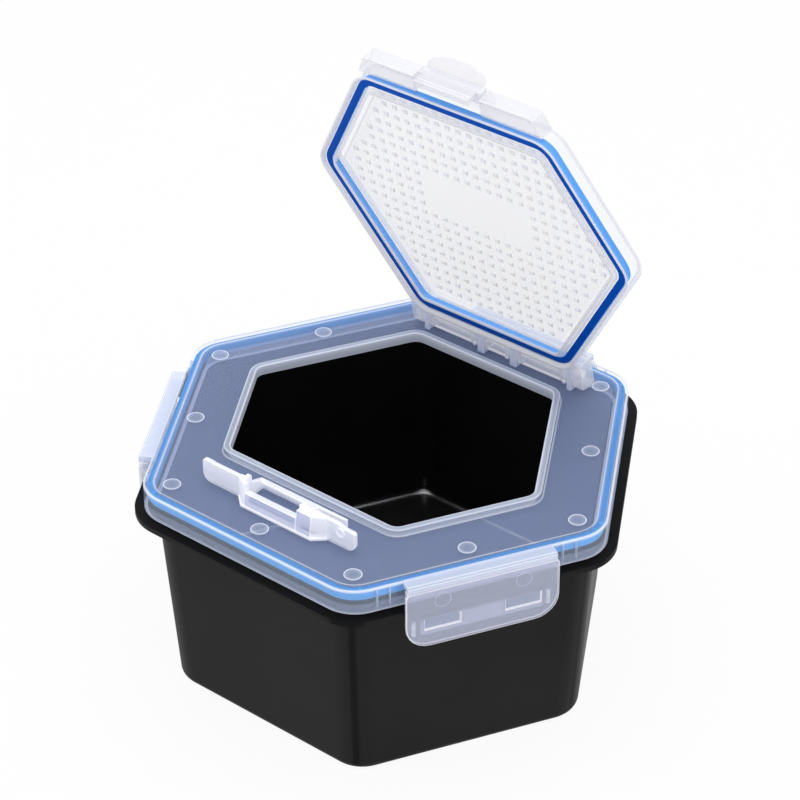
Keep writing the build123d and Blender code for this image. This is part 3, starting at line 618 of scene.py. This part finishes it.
# Floor: pale, and mostly plain white to the camera, so that only a soft shadow of the object shows
def pale_floor():
    finish = Finish("pale_floor", 0.9, Specular_IOR_Level=0.1)
    grain = finish.noise(30.0, 2.0)
    finish.set("Base Color", finish.blend(grain.ramp(0.2, 0.8), (0.88, 0.88, 0.88, 1), (0.90, 0.90, 0.90, 1)))
    white = finish.tree.nodes.new("ShaderNodeEmission")
    white.inputs["Color"].default_value = (1, 1, 1, 1)
    white.inputs["Strength"].default_value = 1.0
    rays = finish.tree.nodes.new("ShaderNodeLightPath")
    camera_ray, glossy_ray, clear_ray = (Value(finish, rays.outputs[key]) for key in (
        "Is Camera Ray", "Is Glossy Ray", "Is Transmission Ray"))
    mix = finish.tree.nodes.new("ShaderNodeMixShader")
    share = camera_ray.greatest(glossy_ray).greatest(clear_ray) * 0.93
    finish.tree.links.new(share.socket, mix.inputs[0])
    finish.tree.links.new(finish.shader.outputs[0], mix.inputs[1])
    finish.tree.links.new(white.outputs[0], mix.inputs[2])
    finish.tree.links.new(mix.outputs[0], finish.tree.nodes["Material Output"].inputs["Surface"])
    return finish.material


bpy.ops.mesh.primitive_plane_add(size=6.0, location=(0, 0, 0))
floor = bpy.context.object
floor.name = "floor"
floor.data.materials.append(pale_floor())

world = bpy.data.worlds.new("studio")
bpy.context.scene.world = world
world.use_nodes = True
tree = world.node_tree
background = tree.nodes["Background"]
background.inputs["Color"].default_value = (1, 1, 1, 1)
background.inputs["Strength"].default_value = 0.60
bright = tree.nodes.new("ShaderNodeBackground")
bright.inputs["Color"].default_value = (1, 1, 1, 1)
bright.inputs["Strength"].default_value = 1.0
path = tree.nodes.new("ShaderNodeLightPath")
mix = tree.nodes.new("ShaderNodeMixShader")
last = path.outputs["Is Camera Ray"]
for key in ("Is Glossy Ray", "Is Transmission Ray"):
    either = tree.nodes.new("ShaderNodeMath")
    either.operation = "MAXIMUM"
    tree.links.new(last, either.inputs[0])
    tree.links.new(path.outputs[key], either.inputs[1])
    last = either.outputs[0]
tree.links.new(last, mix.inputs[0])
tree.links.new(background.outputs[0], mix.inputs[1])
tree.links.new(bright.outputs[0], mix.inputs[2])
tree.links.new(mix.outputs[0], tree.nodes["World Output"].inputs["Surface"])


def softbox(name, place, target, size, power):
    light = bpy.data.lights.new(name, "AREA")
    light.shape = "RECTANGLE"
    light.size, light.size_y = size
    light.energy = power
    lamp = bpy.data.objects.new(name, light)
    bpy.context.scene.collection.objects.link(lamp)
    lamp.location = place
    lamp.rotation_euler = (Vector(target) - Vector(place)).to_track_quat("-Z", "Y").to_euler()


softbox("top_box", (-0.1, 0.1, 0.95), (0, 0, 0.05), (0.9, 0.9), 4.5)
softbox("left_box", (-0.75, -0.75, 0.55), (0, 0, 0.05), (0.5, 0.7), 2.0)
softbox("right_box", (0.95, -0.15, 0.45), (0, 0, 0.05), (0.5, 0.7), 2.0)

lens = bpy.data.cameras.new("camera")
lens.sensor_width = 36.0
lens.lens = 2830.7 * 36.0 / 800.0
lens.clip_start, lens.clip_end = 0.05, 20.0
camera = bpy.data.objects.new("camera", lens)
bpy.context.scene.collection.objects.link(camera)
azimuth, elevation, roll = radians(39.09), radians(34.60), radians(-0.42)
back = Vector((sin(azimuth) * cos(elevation), -cos(azimuth) * cos(elevation), sin(elevation)))
right0 = Vector((cos(azimuth), sin(azimuth), 0))
up0 = back.cross(right0)
right = right0 * cos(roll) + up0 * sin(roll)
up = up0 * cos(roll) - right0 * sin(roll)
place = Vector((0.4722, -0.5767, 0.6061))
camera.matrix_world = Matrix((
    (right.x, up.x, back.x, place.x), (right.y, up.y, back.y, place.y), (right.z, up.z, back.z, place.z),
    (0, 0, 0, 1)))
bpy.context.scene.camera = camera
bpy.context.scene.view_settings.view_transform = "Standard"
